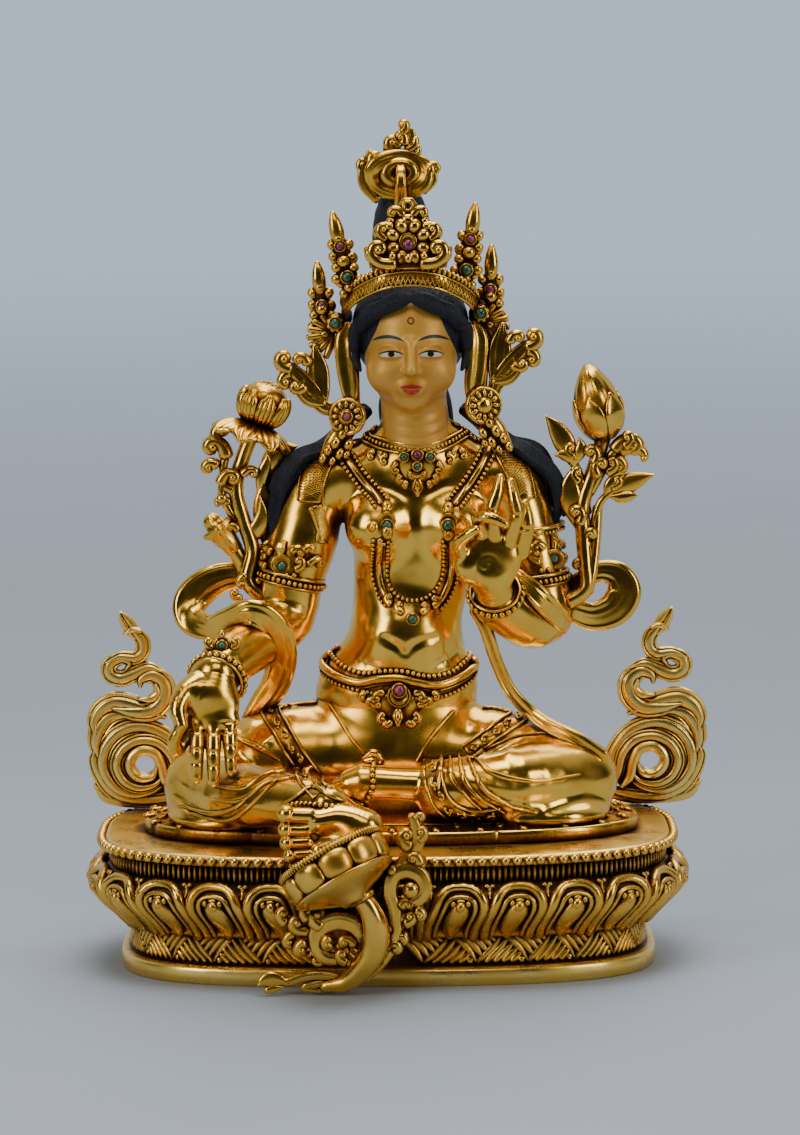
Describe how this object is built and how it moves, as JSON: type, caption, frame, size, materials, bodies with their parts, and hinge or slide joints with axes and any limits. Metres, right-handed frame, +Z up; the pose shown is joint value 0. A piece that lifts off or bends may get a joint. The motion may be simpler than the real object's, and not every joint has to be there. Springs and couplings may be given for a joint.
{
  "type": "seated tara figure",
  "caption": "Gilt seated Green Tara with painted face and hair and set stones, her foot on a small lotus, on an oblong lotus plinth.",
  "frame": {"origin": "centre of the plinth's flat underside", "axes": "+Z up; the figure faces -Y; +X is on the viewer's right when looking at its face"},
  "size_m": [0.2482, 0.1868, 0.3327],
  "materials": {
    "gilt": "polished fire gilding with brown patina in the recesses; face and neck cold gold, hair dark blue",
    "gilt_antique": "satin antiqued gilding with dark recesses",
    "emerald": "polished cabochon",
    "ruby": "polished cabochon"
  },
  "bodies": {
    "root": {"lotus_plinth": "gilt_antique", "figure": "gilt", "crown": "gilt", "topknot_ornament": "gilt", "ear_ornament_left": "gilt", "ear_ornament_right": "gilt", "scarf_loop_left": "gilt", "scarf_loop_right": "gilt", "open_lotus_spray": "gilt", "lotus_bud_spray": "gilt", "flame_scroll_left": "gilt", "flame_scroll_right": "gilt", "foot_lotus": "gilt_antique", "stone_crown_inner_left_green": "emerald", "stone_crown_inner_left_red": "ruby", "stone_crown_inner_right_green": "emerald", "stone_crown_inner_right_red": "ruby", "stone_crown_outer_left_green": "emerald", "stone_crown_outer_left_red": "ruby", "stone_crown_outer_right_green": "emerald", "stone_crown_outer_right_red": "ruby", "stone_crown_front": "ruby", "stone_pendant_left": "emerald", "stone_pendant_middle": "ruby", "stone_pendant_right": "emerald", "stone_pendant_drop": "emerald", "stone_chain_left": "emerald", "stone_chain_right": "emerald", "stone_chain_low": "emerald", "stone_armlet_left": "emerald", "stone_armlet_right": "emerald", "stone_bracelet_left": "emerald", "stone_belt": "ruby", "stone_ear_left": "ruby"}
  },
  "joints": []
}
